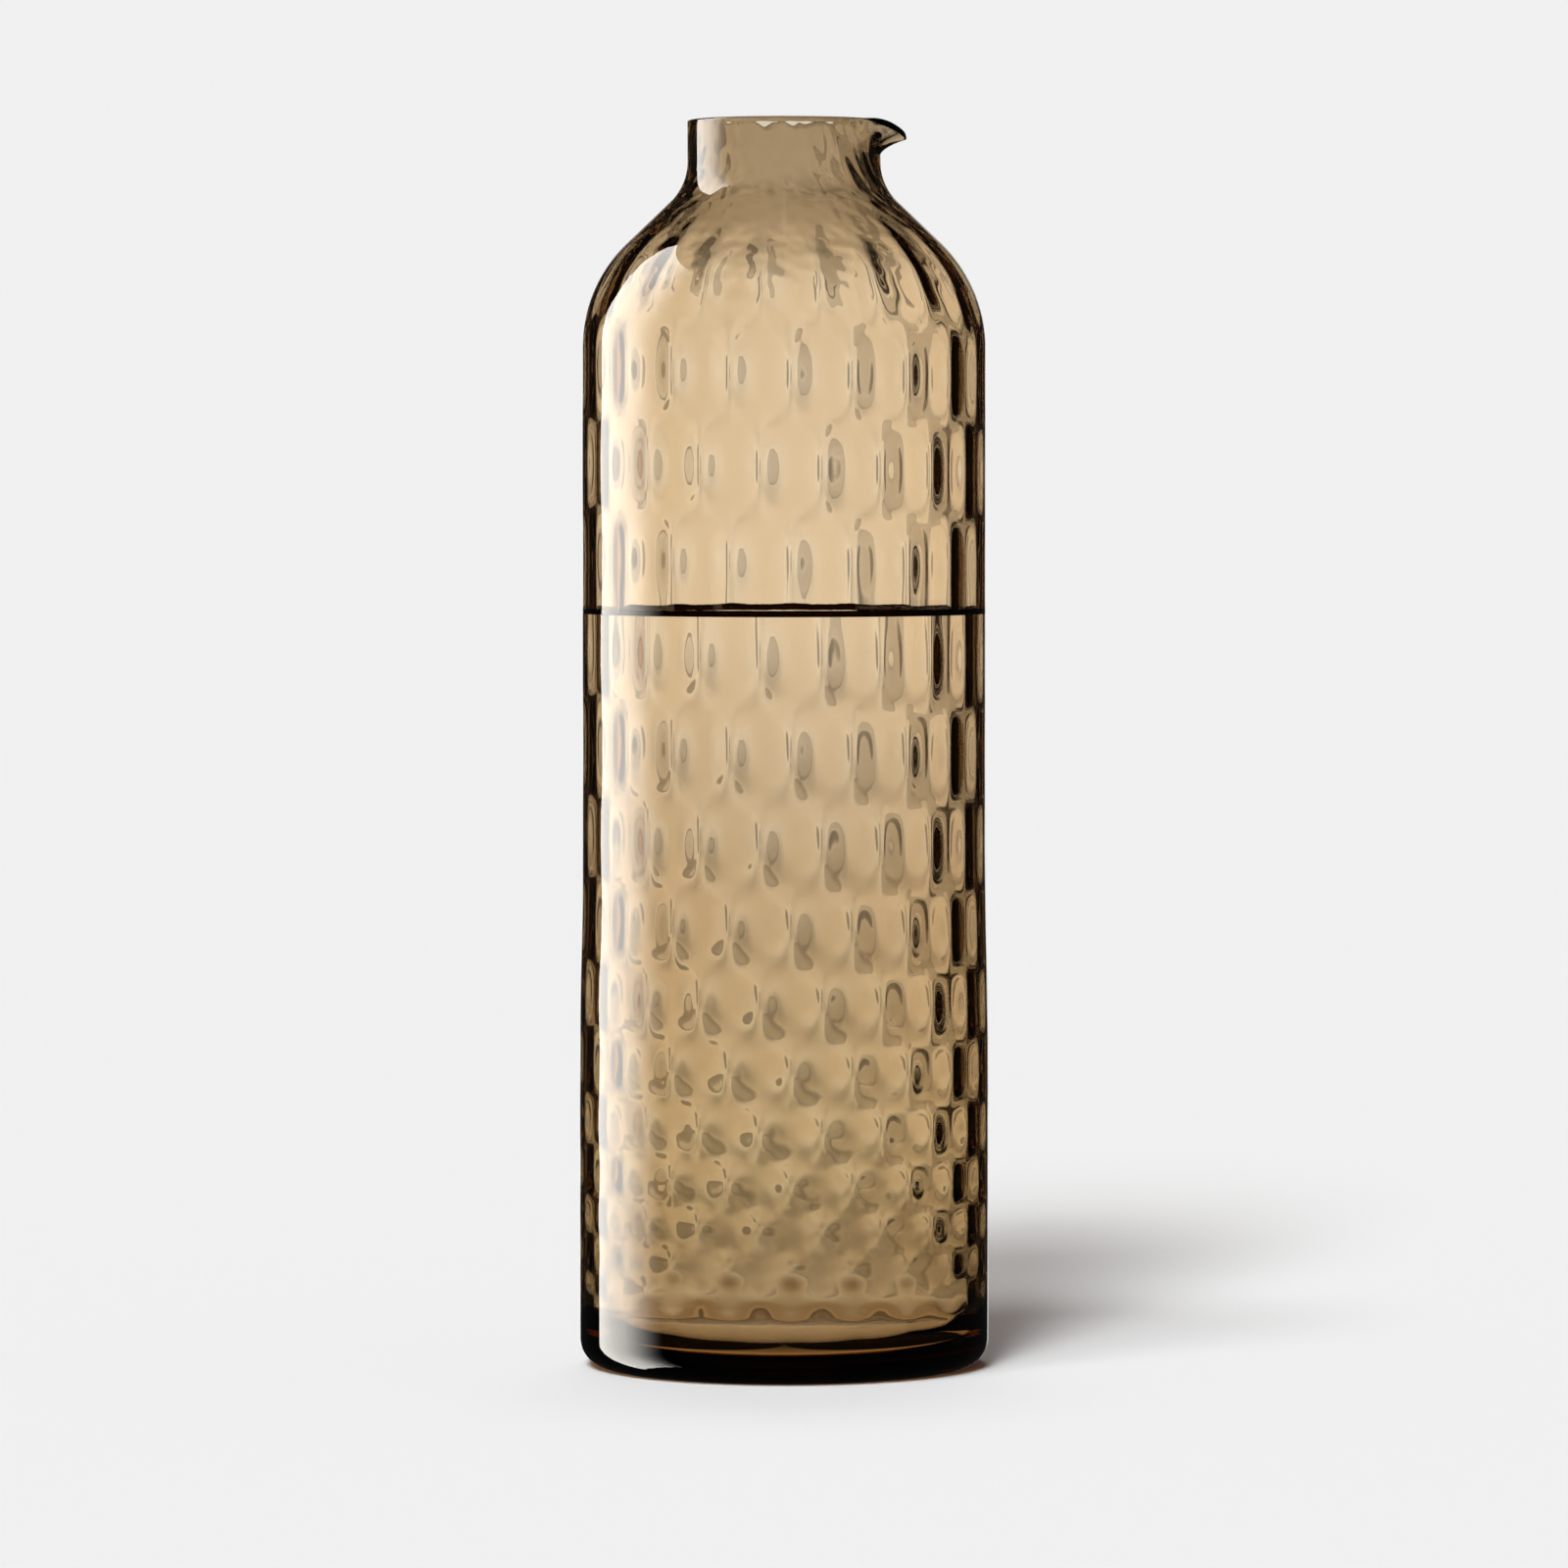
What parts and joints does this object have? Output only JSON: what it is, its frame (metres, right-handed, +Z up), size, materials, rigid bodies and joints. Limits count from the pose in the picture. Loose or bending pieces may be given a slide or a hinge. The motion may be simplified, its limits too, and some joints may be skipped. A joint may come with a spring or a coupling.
{
  "type": "carafe",
  "caption": "Tall blown glass carafe with a cylindrical body, round shoulder, short neck and pulled pouring spout, its upper and lower parts joined at a dark seam.",
  "frame": {"origin": "middle of the base, on the plane that the carafe rests on", "axes": "+Z up along the axis of the body, +X towards the pouring spout"},
  "size_m": [0.092, 0.092, 0.28],
  "materials": {
    "body_glass": "clear smoke-brown blown glass, smooth outside and dimpled inside",
    "seam_glass": "dark brown glass, melted smooth"
  },
  "bodies": {
    "root": {"lower_section": "body_glass", "seam_ring": "seam_glass", "upper_section": "body_glass"}
  },
  "joints": []
}
